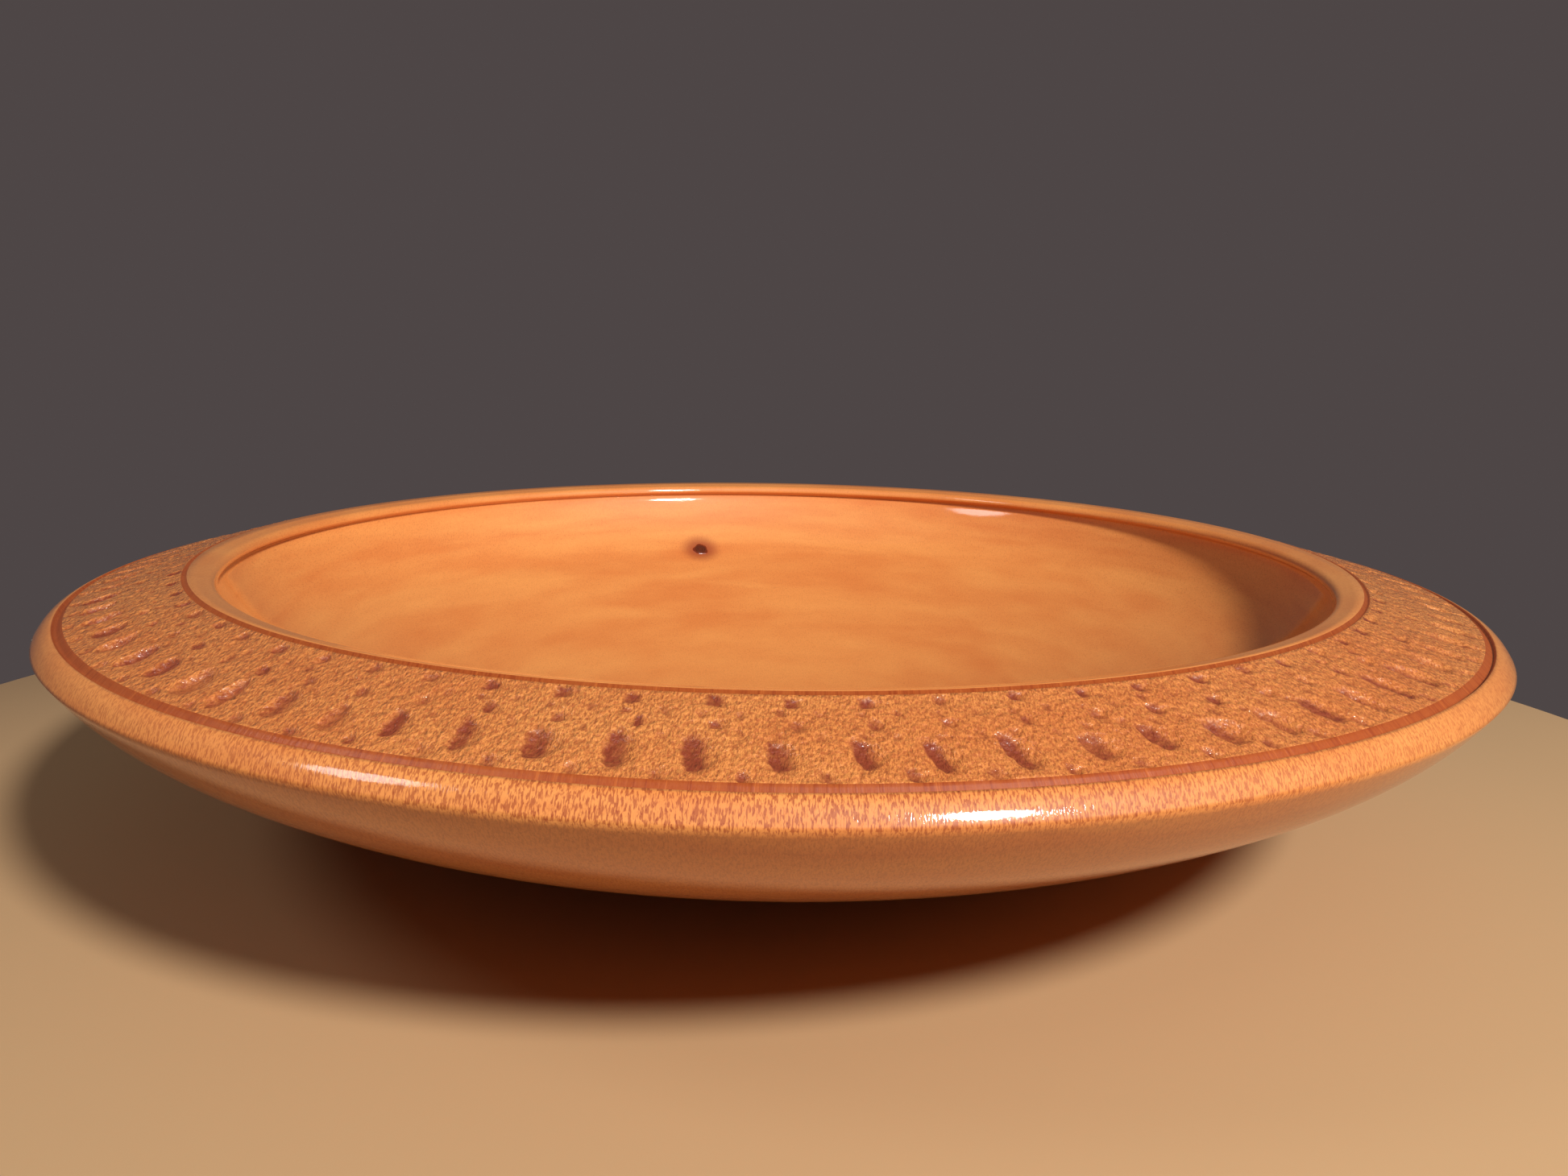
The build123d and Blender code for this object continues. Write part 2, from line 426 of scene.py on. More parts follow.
def carved_relief(turn, radius, form, carving):
    """Height of the carving over the plain slope, in metres and mostly below it, and
    how dark it is: scoops, then domed scales with creased edges at two sizes, then
    fibres torn along the grain, all faded out at the two scribed grooves. The darkness
    is the dents' staining and painted shade, with painted shade in the scales' creases."""
    random = np.random.default_rng(carving.seed)
    _, _, start, end, _, _ = groove_radii(form)
    middle = (start + end) / 2
    x, y = radius * np.cos(turn), radius * np.sin(turn)
    scoop, stain_and_shade = dents(turn, radius, form, carving, random)

    count = round(2 * math.pi * middle / carving.scale_width)
    warp = drift(x, y, 2.2 * MM, random) - 0.5
    along = turn / (2 * math.pi) * count
    across = (radius - start) / carving.scale_length + 1 + warp * 0.9
    near, crease, mark = scales((along + warp * 0.7) % count, across, count, random)
    dome = (1 - near**2) * (0.55 + 0.45 * mark) - 0.35 * np.exp(-crease * 9)
    finer = 2.1
    many = int(count * finer)
    near, crease, mark = scales((along * finer) % many, across * finer, many, random)
    fine = (1 - near**2) * 0.5 - 0.3 * np.exp(-crease * 7)
    calm = smooth((drift(x, y, 6 * MM, random) - 0.2) * 1.8)
    fibre = drift(x, y / 4, 0.55 * MM, random) - 0.5
    rough = (dome * 0.75 + fine * 0.4) * carving.scale_height * (0.35 + 0.65 * calm)
    rough = rough + fibre * carving.tear_height

    fade = smooth(np.minimum(radius - start, end - radius) / (0.5 * MM))
    relief = (rough - scoop - 0.55 * carving.scale_height) * fade
    # Painted shade in the creases between the scales, added to the dents' darkening.
    dark = stain_and_shade + np.exp(-crease * 6) * 0.15
    return relief, np.clip(dark * fade, 0, 1)


# Mesh building


def quads(first, second, spokes):
    """Faces between two rings of equal size, wound so that a run that goes outwards
    faces up."""
    here = np.arange(spokes)
    after = (here + 1) % spokes
    return np.column_stack((first + here, second + here, second + after, first + after))


def stitched(first, second, spokes_first, spokes_second):
    """Triangles between two rings where one has a whole number of times the other's
    spokes: each wide face of the coarse ring fans out to the fine ring's points."""
    coarse_first = spokes_first < spokes_second
    coarse, fine = (spokes_first, spokes_second) if coarse_first else (spokes_second, spokes_first)
    coarse_at, fine_at = (first, second) if coarse_first else (second, first)
    share = fine // coarse
    spoke = np.arange(coarse)
    beside = (spoke + 1) % coarse
    faces = []
    for part in range(share):
        apex = spoke if part < share / 2 else beside
        edge = spoke * share + part
        faces.append(np.column_stack((coarse_at + apex, fine_at + edge, fine_at + (edge + 1) % fine)))
    middle = (spoke * share + (share + 1) // 2) % fine
    faces.append(np.column_stack((coarse_at + spoke, fine_at + middle, coarse_at + beside)))
    faces = np.vstack(faces)
    return faces if coarse_first else faces[:, ::-1]


def turned_mesh(name, runs):
    """A closed solid of revolution. Each run is (section points, spokes): a point at
    radius r and height z becomes a ring of points at r times the cosine and sine of
    each turn. The first and last points lie on the axis and close the ends."""
    points, faces, rings = [], [], []
    total = 0
    for section, spokes in runs:
        turn = np.arange(spokes) / spokes * 2 * math.pi
        for radius, height in section:
            if radius < 1e-9:
                points.append(np.array([[0, 0, height]]))
                rings.append((total, 1))
                total += 1
                continue
            ring = np.column_stack(
                (radius * np.cos(turn), radius * np.sin(turn), np.full(spokes, height))
            )
            points.append(ring)
            rings.append((total, spokes))
            total += spokes
    for (first, many), (second, more) in zip(rings[:-1], rings[1:]):
        if many == 1:
            here = np.arange(more)
            fan = np.column_stack((np.full(more, first), second + here, second + (here + 1) % more))
            faces += fan.tolist()
        elif more == 1:
            here = np.arange(many)
            fan = np.column_stack((np.full(many, second), first + (here + 1) % many, first + here))
            faces += fan.tolist()
        elif many == more:
            faces += quads(first, second, many).tolist()
        else:
            faces += stitched(first, second, many, more).tolist()
    mesh = bpy.data.meshes.new(name)
    mesh.from_pydata(np.vstack(points), [], faces)
    mesh.shade_smooth()
    return mesh


def placed(mesh, body):
    """Puts a mesh into the scene as a piece that rides on a body."""
    piece = bpy.data.objects.new(mesh.name, mesh)
    bpy.context.scene.collection.objects.link(piece)
    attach(piece, body)
    return piece


# Shader groups


class Sheet:
    """A node tree with short calls for adding and wiring nodes."""

    def __init__(self, tree):
        self.tree = tree

    def add(self, kind, **settings):
        node = self.tree.nodes.new(kind)
        for name, value in settings.items():
            setattr(node, name, value)
        return node

    def wire(self, source, target):
        self.tree.links.new(source, target)

    def maths(self, operation, first, second=0.0, third=None):
        """A Math node; a number sets its socket and a socket is wired to it."""
        node = self.add("ShaderNodeMath", operation=operation)
        for socket, value in zip(node.inputs, (first, second, third)):
            if isinstance(value, bpy.types.NodeSocket):
                self.wire(value, socket)
            elif value is not None:
                socket.default_value = value
        return node.outputs[0]

    def vector(self, operation, first, second=None, scale=None):
        """A Vector Math node, wired in the same way."""
        node = self.add("ShaderNodeVectorMath", operation=operation)
        for socket, value in zip(node.inputs, (first, second)):
            if isinstance(value, bpy.types.NodeSocket):
                self.wire(value, socket)
            elif value is not None:
                socket.default_value = value
        if isinstance(scale, bpy.types.NodeSocket):
            self.wire(scale, node.inputs["Scale"])
        elif scale is not None:
            node.inputs["Scale"].default_value = scale
        return node.outputs[0] if operation not in {"LENGTH", "DOT_PRODUCT", "DISTANCE"} else node.outputs[1]

    def noise(self, vector, scale, detail=2.0, roughness=0.5, distortion=0.0):
        """A Noise node on a vector that is already in millimetres."""
        node = self.add("ShaderNodeTexNoise")
        self.wire(vector, node.inputs["Vector"])
        node.inputs["Scale"].default_value = scale
        node.inputs["Detail"].default_value = detail
        node.inputs["Roughness"].default_value = roughness
        node.inputs["Distortion"].default_value = distortion
        return node.outputs["Fac"]

    def ramp(self, value, low, high):
        """Maps low to 0 and high to 1 with a smooth step."""
        node = self.add("ShaderNodeMapRange", interpolation_type="SMOOTHSTEP")
        self.wire(value, node.inputs["Value"])
        for name, limit in (("From Min", low), ("From Max", high)):
            if isinstance(limit, bpy.types.NodeSocket):
                self.wire(limit, node.inputs[name])
            else:
                node.inputs[name].default_value = limit
        return node.outputs["Result"]

    def mix(self, share, first, second):
        """A colour Mix node."""
        node = self.add("ShaderNodeMix", data_type="RGBA")
        for name, value in (("Factor", share), ("A", first), ("B", second)):
            self.fill(node.inputs[name], value)
        return node.outputs["Result"]

    def fill(self, socket, value):
        """Wires a socket to the value, or sets it."""
        if isinstance(value, bpy.types.NodeSocket):
            self.wire(value, socket)
        elif isinstance(value, (int, float)):
            socket.default_value = value
        else:
            socket.default_value = (*value[:3], 1.0)


def new_group(name, inputs, outputs):
    """A shader node group with named sockets: returns its sheet, the inputs by name
    and the output node."""
    tree = bpy.data.node_groups.new(name, "ShaderNodeTree")
    for label, kind, default in inputs:
        socket = tree.interface.new_socket(label, in_out="INPUT", socket_type=kind)
        if default is not None:
            socket.default_value = default
    for label, kind in outputs:
        tree.interface.new_socket(label, in_out="OUTPUT", socket_type=kind)
    sheet = Sheet(tree)
    inlet = sheet.add("NodeGroupInput")
    outlet = sheet.add("NodeGroupOutput")
    return sheet, {socket.name: socket for socket in inlet.outputs if socket.name}, outlet


def wood_figure_group():
    """Figure of the wood: growth layers lie nearly level, bowed over a far heart;
    flecks are short spindles along Y, the way the grain runs; long faint streaks
    follow them. Millimetre coordinates in, colour and a small height out."""
    sheet, inlet, outlet = new_group(
        "wood_figure",
        (
            ("Grain", "NodeSocketVector", None),
            ("Pale", "NodeSocketColor", (0.9, 0.5, 0.2, 1)),
            ("Warm", "NodeSocketColor", (0.7, 0.3, 0.1, 1)),
            ("Fleck", "NodeSocketColor", (0.4, 0.1, 0.03, 1)),
            ("Fleck Strength", "NodeSocketFloat", 0.8),
        ),
        (("Color", "NodeSocketColor"), ("Height", "NodeSocketFloat")),
    )
    grain = inlet["Grain"]
    layer_field = sheet.vector("MULTIPLY", grain, (0.016, 0.014, 0.16))
    layers = sheet.noise(layer_field, 1.0, detail=3.0, roughness=0.55, distortion=0.4)
    streak_field = sheet.vector("MULTIPLY", grain, (0.07, 0.055, 0.4))
    streaks = sheet.noise(streak_field, 1.0, detail=2.0)
    tint = sheet.maths("ADD", sheet.maths("MULTIPLY", layers, 0.7), sheet.maths("MULTIPLY", streaks, 0.3))
    ground = sheet.mix(sheet.ramp(tint, 0.22, 0.85), inlet["Pale"], inlet["Warm"])
    fleck_field = sheet.vector("MULTIPLY", grain, (3.9, 1.0, 1.0))
    fleck = sheet.noise(fleck_field, 1.0, detail=1.5, roughness=0.6, distortion=0.25)
    fleck_mask = sheet.ramp(fleck, 0.44, 0.60)
    pore_field = sheet.vector("MULTIPLY", grain, (5.0, 1.6, 3.0))
    pores = sheet.ramp(sheet.noise(pore_field, 1.0, detail=1.0), 0.56, 0.68)
    amount = sheet.maths("MULTIPLY", fleck_mask, inlet["Fleck Strength"])
    amount = sheet.maths("MULTIPLY_ADD", pores, 0.22, amount)
    amount = sheet.maths("MINIMUM", amount, 1.0)
    sheet.wire(sheet.mix(amount, ground, inlet["Fleck"]), outlet.inputs["Color"])
    height = sheet.maths("MULTIPLY_ADD", amount, -0.6, layers)
    sheet.wire(height, outlet.inputs["Height"])
    return sheet.tree


def lacquer_film_group():
    """Unevenness of the brushed lacquer: a slow ripple and faint dust nibs as a
    height, and a roughness that wanders a little either side of its middle."""
    sheet, inlet, outlet = new_group(
        "lacquer_film",
        (("Place", "NodeSocketVector", None), ("Gloss Roughness", "NodeSocketFloat", 0.3)),
        (("Roughness", "NodeSocketFloat"), ("Height", "NodeSocketFloat")),
    )
    ripple = sheet.noise(inlet["Place"], 0.22, detail=2.0)
    grainy = sheet.noise(inlet["Place"], 1.6, detail=2.0)
    wander = sheet.maths("MULTIPLY_ADD", grainy, 0.16, -0.08)
    sheet.wire(sheet.maths("ADD", wander, inlet["Gloss Roughness"]), outlet.inputs["Roughness"])
    sheet.wire(sheet.maths("MULTIPLY_ADD", grainy, 0.25, ripple), outlet.inputs["Height"])
    return sheet.tree


def shared_group(name, maker):
    """The node group of that name, made once."""
    return bpy.data.node_groups.get(name) or maker()


class Wood(Sheet):
    """A material under way: its shader, its millimetre coordinates and the two
    shared groups placed in it."""

    def __init__(self, name, finish, fleck_strength, gloss):
        """Starts a material in the finish's colours. The fleck strength runs from 0 to
        1, and the gloss is the wood's own roughness under the coat."""
        self.material = bpy.data.materials.new(name)
        self.material.use_nodes = True
        super().__init__(self.material.node_tree)
        self.shader = self.tree.nodes["Principled BSDF"]
        place = self.add("ShaderNodeTexCoord").outputs["Object"]
        self.place = self.vector("SCALE", place, scale=1 / MM)
        figure = shared_group("wood_figure", wood_figure_group)
        self.figure = self.add("ShaderNodeGroup", node_tree=figure)
        self.wire(self.place, self.figure.inputs["Grain"])
        for label, shade in (("Pale", finish.pale), ("Warm", finish.warm), ("Fleck", finish.fleck)):
            self.fill(self.figure.inputs[label], shade)
        self.figure.inputs["Fleck Strength"].default_value = fleck_strength
        film = shared_group("lacquer_film", lacquer_film_group)
        self.film = self.add("ShaderNodeGroup", node_tree=film)
        self.wire(self.place, self.film.inputs["Place"])
        self.film.inputs["Gloss Roughness"].default_value = gloss
        self.wire(self.film.outputs["Roughness"], self.shader.inputs["Roughness"])

    def lacquered(self, weight, roughness):
        """A clear coat of that weight and roughness."""
        self.shader.inputs["Coat Weight"].default_value = weight
        self.shader.inputs["Coat Roughness"].default_value = roughness
        self.shader.inputs["Coat IOR"].default_value = 1.5

    def bumped(self, height, depth):
        """Bump from a height, where one unit of height stands depth metres tall."""
        bump = self.add("ShaderNodeBump")
        bump.inputs["Distance"].default_value = depth
        self.wire(height, bump.inputs["Height"])
        self.wire(bump.outputs["Normal"], self.shader.inputs["Normal"])
        self.wire(bump.outputs["Normal"], self.shader.inputs["Coat Normal"])


def polished_wood(finish, knot_at):
    """Smooth turned wood: full figure under a gloss coat, with the grain darkened
    and drawn round the knot."""
    wood = Wood("polished_wood", finish, fleck_strength=0, gloss=0.6)
    fleck = wood.add("ShaderNodeAttribute", attribute_name="fleck").outputs["Fac"]
    wood.wire(fleck, wood.figure.inputs["Fleck Strength"])
    gap = wood.vector("DISTANCE", wood.place, tuple(c / MM for c in knot_at))
    halo = wood.maths("MULTIPLY", wood.ramp(gap, 7.5, 2.2), 0.75)
    shaded = wood.mix(halo, wood.figure.outputs["Color"], finish.scribe)
    wood.wire(shaded, wood.shader.inputs["Base Color"])
    height = wood.maths("MULTIPLY_ADD", wood.figure.outputs["Height"], 0.25, wood.film.outputs["Height"])
    wood.lacquered(0.9, 0.06)
    wood.bumped(height, 0.03 * MM)
    return wood.material


def carved_wood(finish):
    """The carved band: the same figure, with staining and painted shade where the carving
    is deep, painted shade in the torn fibres' low places, and torn fibres in the bump."""
    wood = Wood("carved_wood", finish, fleck_strength=0.35, gloss=0.55)
    fibre_field = wood.vector("MULTIPLY", wood.place, (3.2, 1.2, 3.2))
    fibre = wood.noise(fibre_field, 1.0, detail=2.5, roughness=0.6)
    carve = wood.add("ShaderNodeAttribute", attribute_name="carve").outputs["Fac"]
    smudge = wood.noise(wood.place, 0.9, detail=3.0, roughness=0.6)
    # Painted shade with some pooled staining: the carve mask's darkening, in the dark red-brown.
    pooled_stain_and_shade = wood.maths("MULTIPLY", carve, wood.maths("MULTIPLY_ADD", smudge, 1.3, 0.35))
    pooled_stain_and_shade = wood.maths("MINIMUM", pooled_stain_and_shade, 0.92)
    # Painted shade in the torn fibres' low places: the fibre noise that raises the bump darkens the colour
    # where it is low.
    torn = wood.maths("MULTIPLY", wood.ramp(fibre, 0.54, 0.40), 0.5)
    valley_shaded_figure = wood.mix(torn, wood.figure.outputs["Color"], finish.fleck)
    wood.wire(wood.mix(pooled_stain_and_shade, valley_shaded_figure, finish.pooled_stain_and_shade), wood.shader.inputs["Base Color"])
    scale = wood.add("ShaderNodeTexVoronoi", feature="SMOOTH_F1")
    scale.inputs["Scale"].default_value = 1.0
    scale.inputs["Smoothness"].default_value = 0.35
    wood.wire(wood.vector("MULTIPLY", wood.place, (1.15, 0.8, 1.15)), scale.inputs["Vector"])
    height = wood.maths("MULTIPLY_ADD", scale.outputs["Distance"], -0.9, fibre)
    wood.lacquered(1.0, 0.07)
    wood.bumped(height, 0.30 * MM)
    return wood.material


def scribed_wood(finish, form):
    """The scribed grooves: burnished red-brown, crossed by fine stripes where the
    point cut through the grain. The stripes are noise on the unit circle, so they
    run straight across the groove all the way round."""
    wood = Wood("scribed_wood", finish, fleck_strength=0.2, gloss=0.4)
    level = wood.vector("MULTIPLY", wood.place, (1, 1, 0))
    circle = wood.vector("SCALE", wood.vector("NORMALIZE", level), scale=form.outer_radius / MM)
    stripe = wood.noise(circle, 1.5, detail=2.0, roughness=0.7)
    body = wood.mix(0.78, wood.figure.outputs["Color"], finish.scribe)
    deep = wood.maths("MULTIPLY", wood.ramp(stripe, 0.50, 0.66), 0.45)
    # The deep stripes take the same dark red-brown; here it is the grooves' own colour.
    striped = wood.mix(deep, body, finish.pooled_stain_and_shade)
    bright = wood.maths("MULTIPLY", wood.ramp(stripe, 0.42, 0.30), 0.3)
    striped = wood.mix(bright, striped, finish.warm)
    wood.wire(striped, wood.shader.inputs["Base Color"])
    wood.lacquered(0.12, 0.2)
    wood.bumped(stripe, 0.08 * MM)
    return wood.material


def knot_wood(finish, knot_at):
    """The knot: dark rings round its own heart, paler and redder at the rim."""
    wood = Wood("knot_wood", finish, fleck_strength=0.3, gloss=0.3)
    gap = wood.vector("DISTANCE", wood.place, tuple(c / MM for c in knot_at))
    wavy = wood.maths("MULTIPLY_ADD", wood.noise(wood.place, 0.9), 0.9, gap)
    wave = wood.maths("SINE", wood.maths("MULTIPLY", wavy, 9.0))
    rings = wood.maths("MULTIPLY_ADD", wave, 0.5, 0.5)
    # The rings take the same dark red-brown; here it is the knot's own colour.
    heart = wood.mix(wood.maths("MULTIPLY", rings, 0.35), finish.knot, finish.pooled_stain_and_shade)
    rim = wood.maths("MULTIPLY", wood.ramp(gap, 1.2, 2.7), 0.7)
    wood.wire(wood.mix(rim, heart, finish.scribe), wood.shader.inputs["Base Color"])
    wood.lacquered(0.9, 0.1)
    wood.bumped(rings, 0.03 * MM)
    return wood.material


# Operators

# Points round a ring of the carved band, of the plain wood and of the middle, which
# divide into each other; rings across the band; and the share of the mouth's radius
# that counts as the middle. The rim's top is what lies over a share of the height
SPOKES_BAND = 1560
SPOKES_BODY = 312
SPOKES_MIDDLE = 104
BAND_RINGS = 38
MIDDLE_SHARE = 0.2
TOP_SHARE = 0.8


class BOWL_OT_turned_bowl(bpy.types.Operator):
    """The one-piece bowl: its turned section swept round the axis, with the carved
    band's relief pressed in square to the slope"""

    bl_idname = "bowl.turned_bowl"
    bl_label = "Turned bowl"

    # How boldly the flecks show, from 0 to 1
    FLECK_FRONT = 0.75
    FLECK_SIDES = 0.2
    FLECK_UNDER = 0.25
    FLECK_INSIDE = 0.08

    def execute(self, context):
        form = context.scene.bowl_form
        carving = context.scene.bowl_carving
        finish = context.scene.bowl_finish
        inside = inside_run(form)
        outside = outside_run(form)
        middle = inside[:, 0] < form.opening_radius * MIDDLE_SHARE
        base = np.array([[form.foot_radius * MIDDLE_SHARE, form.base_recess], [0, form.base_recess]])
        runs = (
            (inside[middle], SPOKES_MIDDLE),
            (inside[~middle], SPOKES_BODY),
            (band_run(form, BAND_RINGS), SPOKES_BAND),
            (outside[1:], SPOKES_BODY),
            (base, SPOKES_MIDDLE),
        )
        mesh = turned_mesh("turned_bowl", runs)
        self.carve(mesh, form, carving)
        for material in (
            polished_wood(finish, knot_seat(form)[0]),
            carved_wood(finish),
            scribed_wood(finish, form),
        ):
            mesh.materials.append(material)
        self.zone(mesh, form)
        piece = placed(mesh, "root")
        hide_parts("bowl_body")
        return {"FINISHED"}

    def carve(self, mesh, form, carving):
        """Moves the band's points along the slope's normal by the relief and keeps how
        dark each place is, staining and painted shade, in the carve attribute."""
        place = np.empty(len(mesh.vertices) * 3)
        mesh.vertices.foreach_get("co", place)
        place = place.reshape(-1, 3)
        radius = np.hypot(place[:, 0], place[:, 1])
        turn = np.arctan2(place[:, 1], place[:, 0]) % (2 * math.pi)
        _, _, start, end, _, _ = groove_radii(form)
        band = (radius > start) & (radius < end) & (place[:, 2] > form.height * TOP_SHARE)
        relief, dark = carved_relief(turn[band], radius[band], form, carving)
        lean, rise = math.sin(form.band_slope), math.cos(form.band_slope)
        place[band, 0] += relief * lean * np.cos(turn[band])
        place[band, 1] += relief * lean * np.sin(turn[band])
        place[band, 2] += relief * rise
        mesh.vertices.foreach_set("co", place.ravel())
        shade = np.zeros(len(place))
        shade[band] = dark
        # The carve attribute holds painted shade on the dents' steep walls and in the creases, with the
        # dents' staining.
        mesh.attributes.new("carve", "FLOAT", "POINT").data.foreach_set("value", shade)
        self.figure(mesh, form, turn, radius, place[:, 2])
        mesh.update()

    def figure(self, mesh, form, turn, radius, height):
        """Keeps how boldly the flecks show in the fleck attribute: most on the bevel
        at the front and back, where the cut crosses the rays, less at its sides, and
        faint inside and underneath."""
        *_, bevel = groove_radii(form)
        arris = slope_height(form, bevel) - form.bevel_drop
        bold = (radius > bevel - form.outer_groove) & (height > arris - 0.01 * MM)
        outside = radius > form.opening_radius + form.lip_width
        inside = ~outside & (height > form.base_recess + form.floor_thickness / 2)
        plain = np.where(inside, self.FLECK_INSIDE, self.FLECK_UNDER)
        on_bevel = self.FLECK_SIDES + (self.FLECK_FRONT - self.FLECK_SIDES) * np.sin(turn) ** 4
        strength = np.where(bold, on_bevel, plain)
        mesh.attributes.new("fleck", "FLOAT", "POINT").data.foreach_set("value", strength)

    def zone(self, mesh, form):
        """Gives each face its material by the radius of its middle: the carved band,
        the two grooves, or polished wood."""
        crest, _, start, end, _, bevel = groove_radii(form)
        middle = np.empty(len(mesh.polygons) * 3)
        mesh.polygons.foreach_get("center", middle)
        middle = middle.reshape(-1, 3)
        radius = np.hypot(middle[:, 0], middle[:, 1])
        top = middle[:, 2] > form.height * TOP_SHARE
        groove = top & (((radius > crest) & (radius < start)) | ((radius > end) & (radius < bevel)))
        band = top & (radius > start) & (radius < end)
        mesh.polygons.foreach_set("material_index", np.where(band, 1, np.where(groove, 2, 0)))


def knot_seat(form):
    """Middle of the knot's mouth on the cove, the direction out of the wall and the
    knot's bearing, from the knot's box in the frame."""
    middle = (KNOT_LOW + KNOT_HIGH) / 2
    bearing = math.atan2(middle[1], middle[0])
    centre = cove_centre(form)
    aim = np.array((math.hypot(middle[0], middle[1]), middle[2])) - centre
    aim = aim / np.linalg.norm(aim)
    mouth = centre + aim * form.cove_radius
    round_to = np.array((math.cos(bearing), math.sin(bearing)))
    seat = np.array((*(mouth[0] * round_to), mouth[1]))
    out = -np.array((*(aim[0] * round_to), aim[1]))
    return seat, out, bearing


class BOWL_OT_knot_stub(bpy.types.Operator):
    """The pin knot: rings round its own axis, from a faintly proud, wavy-edged face
    down a taper to its tip"""

    bl_idname = "bowl.knot_stub"
    bl_label = "Knot stub"

    SPOKES = 72
    # Rings from the face down to the tip: radius and height over the wall, millimetres
    SECTION = (
        (0, 0.10),
        (0.6, 0.10),
        (1.2, 0.09),
        (1.8, 0.08),
        (2.15, 0.06),
        (2.35, 0.0),
        (2.4, -0.3),
        (1.5, -6.5),
    )
    # Waves of the edge: how many lobes, their share of the radius and their start
    EDGE_WAVES = ((3, 0.07, 0.7), (5, 0.05, 2.1))

    def execute(self, context):
        form = context.scene.bowl_form
        finish = context.scene.bowl_finish
        seat, out, bearing = knot_seat(form)
        sideways = np.array((-math.sin(bearing), math.cos(bearing), 0))
        upwards = np.cross(out, sideways)
        spokes = self.SPOKES
        turn = np.arange(spokes) / spokes * 2 * math.pi
        wave = 1 + sum(swell * np.sin(lobes * turn + start) for lobes, swell, start in self.EDGE_WAVES)
        cove = form.cove_radius / MM
        rings = []
        for radius, height in self.SECTION[1:]:
            across, up = radius * wave * np.cos(turn), radius * wave * np.sin(turn)
            drop = cove - np.sqrt(cove**2 - up**2)
            spot = seat + MM * (
                across[:, None] * sideways + up[:, None] * upwards + (height + drop)[:, None] * out
            )
            rings.append(spot)
        face, tip = self.SECTION[0][1], self.SECTION[-1][1]
        tips = np.array((seat + out * face * MM, seat + out * tip * MM))
        points = np.vstack((tips[:1], *rings, tips[1:]))
        here = np.arange(spokes)
        after = (here + 1) % spokes
        last = 1 + (len(rings) - 1) * spokes
        faces = np.column_stack((np.zeros(spokes, int), 1 + here, 1 + after)).tolist()
        for ring in range(len(rings) - 1):
            faces += quads(1 + ring * spokes, 1 + (ring + 1) * spokes, spokes).tolist()
        faces += np.column_stack((np.full(spokes, len(points) - 1), last + after, last + here)).tolist()
        mesh = bpy.data.meshes.new("knot_stub")
        mesh.from_pydata(points, [], faces)
        mesh.shade_smooth()
        mesh.materials.append(knot_wood(finish, seat))
        piece = placed(mesh, "root")
        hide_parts("pin_knot")
        return {"FINISHED"}


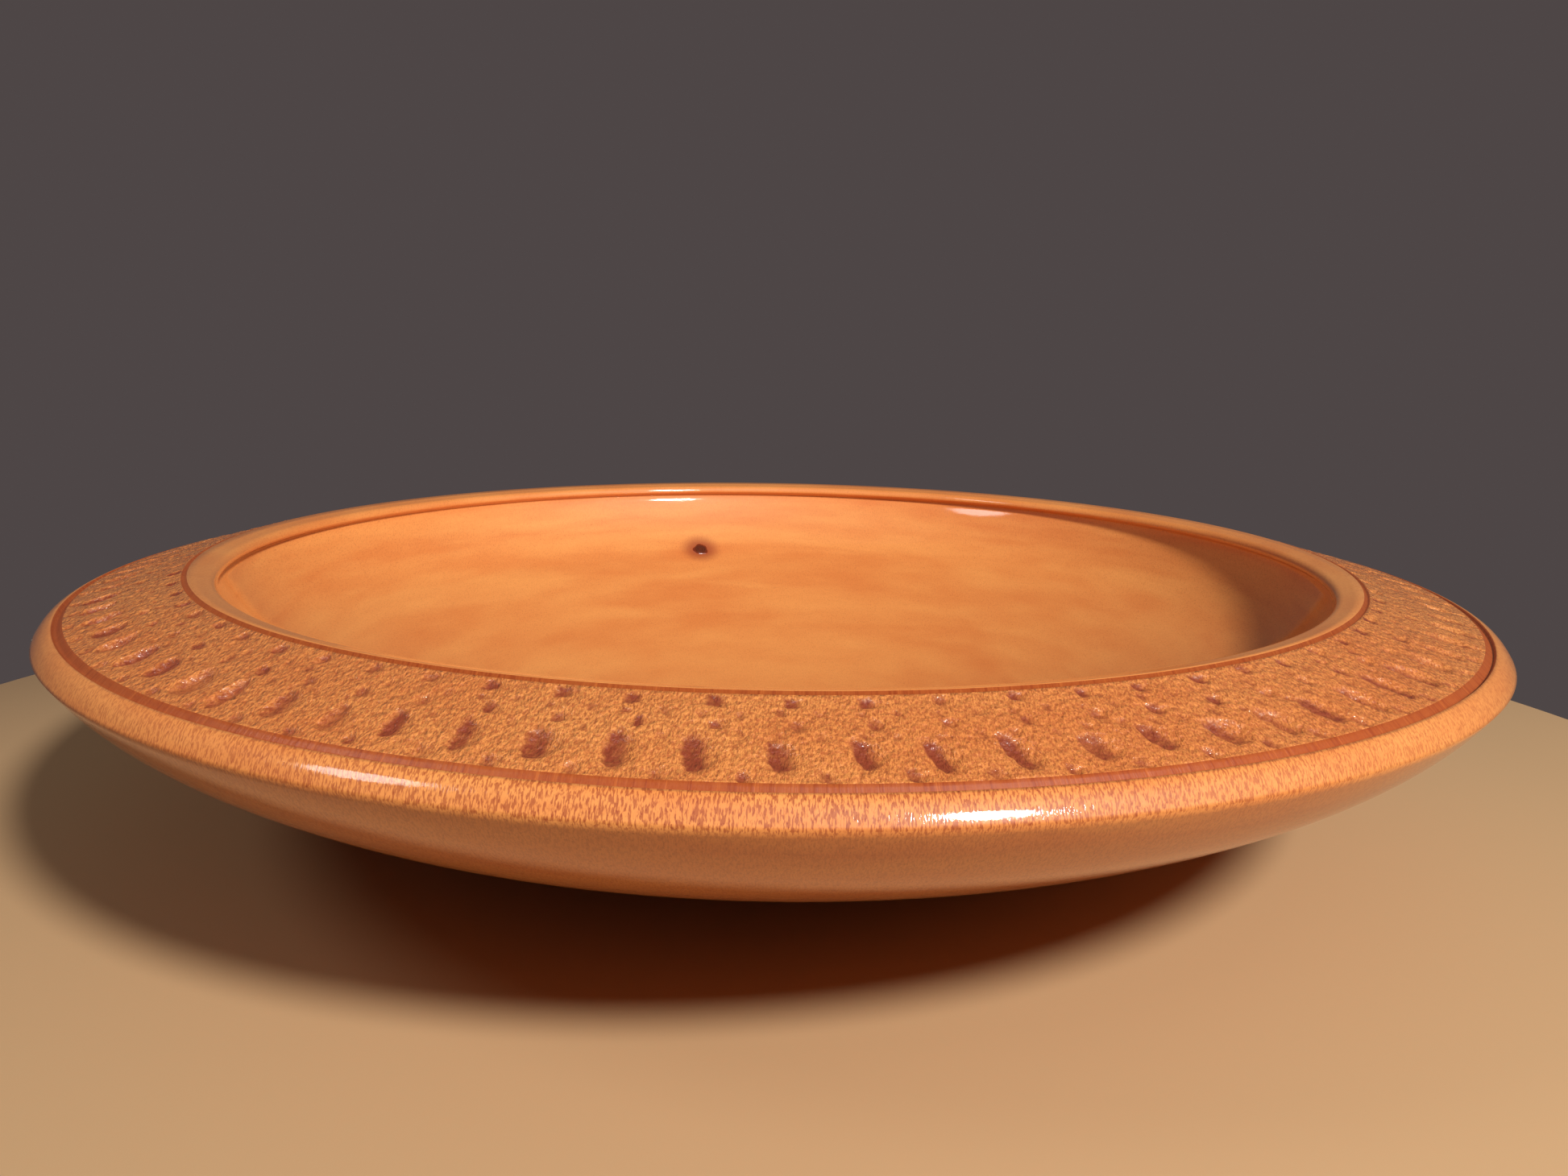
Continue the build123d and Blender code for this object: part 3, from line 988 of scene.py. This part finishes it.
class BOWL_OT_studio(bpy.types.Operator):
    """Pale floor, soft lights and the camera"""

    bl_idname = "bowl.studio"
    bl_label = "Studio"

    FLOOR_RADIUS = 0.23
    FLOOR_EDGE = 0.004
    FLOOR_SPOKES = 180
    FLOOR_MOTTLE = 0.05
    FLOOR_SPECKS = 700.0
    # Name, turn to the right of the front and height over the floor in degrees,
    # distance and width in metres, and watts
    LIGHTS = (
        ("key_light", 33, 42, 1.3, 0.20, 23.0),
        ("side_light", -66, 43, 0.9, 0.22, 1.1),
        ("top_light", -20, 78, 1.6, 1.2, 0.3),
    )
    AIR_COLOUR = tone(80, 72, 72)
    AIR_STRENGTH = 0.95
    # The camera's turns in radians, its lens and sensor in millimetres, and its place
    # in outer radii: in front of the axis, and above the crest
    PITCH, ROLL, YAW = 0.19809, 0.019203, 0.0059367
    LENS, SENSOR = 27.194, 36
    BACK, LIFT = 1.8358, 0.29418

    def execute(self, context):
        finish = context.scene.bowl_finish
        self.floor(finish)
        self.lights(context)
        self.camera(context)
        context.scene.view_settings.view_transform = "Standard"
        return {"FINISHED"}

    def floor(self, finish):
        """A level round table top that the foot stands on: rings round its middle,
        with an eased edge."""
        radius, edge = self.FLOOR_RADIUS, self.FLOOR_EDGE
        section = (
            (0, 0),
            (radius / 4, 0),
            (radius / 2, 0),
            (radius - edge, 0),
            (radius, -edge),
            (radius, -3 * edge),
            (radius - edge, -4 * edge),
            (0, -4 * edge),
        )
        mesh = turned_mesh("studio_floor", ((section, self.FLOOR_SPOKES),))
        material = bpy.data.materials.new("pale_table")
        material.use_nodes = True
        paint = Sheet(material.node_tree)
        shader = paint.tree.nodes["Principled BSDF"]
        place = paint.add("ShaderNodeTexCoord").outputs["Object"]
        speck = paint.maths("MULTIPLY", paint.noise(place, self.FLOOR_SPECKS), self.FLOOR_MOTTLE)
        shade = paint.mix(speck, finish.floor, finish.warm)
        paint.wire(shade, shader.inputs["Base Color"])
        shader.inputs["Roughness"].default_value = 0.8
        mesh.materials.append(material)
        floor = bpy.data.objects.new("studio_floor", mesh)
        bpy.context.scene.collection.objects.link(floor)

    def lights(self, context):
        """A key light at the front right, a weak one at the left and a broad one
        overhead, each a soft disk aimed at the bowl, under a dim even sky."""
        for name, azimuth, elevation, distance, size, power in self.LIGHTS:
            turn, lift = math.radians(azimuth), math.radians(elevation)
            out = np.array(
                (math.sin(turn) * math.cos(lift), -math.cos(turn) * math.cos(lift), math.sin(lift))
            )
            lamp = bpy.data.lights.new(name, "AREA")
            lamp.shape = "DISK"
            lamp.size = size
            lamp.energy = power
            light = bpy.data.objects.new(name, lamp)
            light.location = out * distance
            light.rotation_mode = "QUATERNION"
            light.rotation_quaternion = light.location.to_track_quat("Z", "Y")
            context.scene.collection.objects.link(light)
        world = bpy.data.worlds.new("studio_air")
        world.use_nodes = True
        air = world.node_tree.nodes["Background"]
        air.inputs["Color"].default_value = (*self.AIR_COLOUR, 1)
        air.inputs["Strength"].default_value = self.AIR_STRENGTH
        context.scene.world = world

    def camera(self, context):
        """A wide hand-held view from the front, a little above the rim, leaning a
        touch to one side."""
        form = context.scene.bowl_form
        pitch, roll, yaw = self.PITCH, self.ROLL, self.YAW
        ahead = np.array(
            (math.sin(yaw) * math.cos(pitch), math.cos(yaw) * math.cos(pitch), -math.sin(pitch))
        )
        right = np.array((math.cos(yaw), -math.sin(yaw), 0))
        above = np.cross(right, ahead)
        across = math.cos(roll) * right + math.sin(roll) * above
        up = -math.sin(roll) * right + math.cos(roll) * above
        view = bpy.data.cameras.new("front_camera")
        view.sensor_width = self.SENSOR
        view.lens = self.LENS
        view.clip_start = 0.01
        camera = bpy.data.objects.new("front_camera", view)
        turn = Matrix(np.column_stack((across, up, -ahead)).tolist()).to_4x4()
        back, lift = self.BACK * form.outer_radius, self.LIFT * form.outer_radius
        camera.matrix_world = Matrix.Translation((0, -back, form.height + lift)) @ turn
        context.scene.collection.objects.link(camera)
        context.scene.camera = camera


class BOWL_PT_panel(bpy.types.Panel):
    """Sidebar list of the bowl's pieces and sizes"""

    bl_idname = "BOWL_PT_panel"
    bl_label = "Carved Bowl"
    bl_space_type = "VIEW_3D"
    bl_region_type = "UI"
    bl_category = "Carved Bowl"

    def draw(self, context):
        for operator in OPERATORS:
            self.layout.operator(operator.bl_idname)
        for group in (context.scene.bowl_form, context.scene.bowl_carving, context.scene.bowl_finish):
            box = self.layout.box()
            for name in group.bl_rna.properties.keys():
                if name not in {"rna_type", "name"}:
                    box.prop(group, name)


GROUPS = (("bowl_form", BowlForm), ("bowl_carving", BowlCarving), ("bowl_finish", BowlFinish))
OPERATORS = (BOWL_OT_turned_bowl, BOWL_OT_knot_stub, BOWL_OT_studio)


def register():
    for name, group in GROUPS:
        bpy.utils.register_class(group)
        setattr(bpy.types.Scene, name, bpy.props.PointerProperty(type=group))
    for item in (*OPERATORS, BOWL_PT_panel):
        bpy.utils.register_class(item)


def unregister():
    for item in (*OPERATORS, BOWL_PT_panel):
        bpy.utils.unregister_class(item)
    for name, group in GROUPS:
        delattr(bpy.types.Scene, name)
        bpy.utils.unregister_class(group)


def main():
    """Makes every piece in order."""
    register()
    bpy.ops.bowl.turned_bowl()
    bpy.ops.bowl.knot_stub()
    bpy.ops.bowl.studio()


if __name__ == "__main__":
    main()
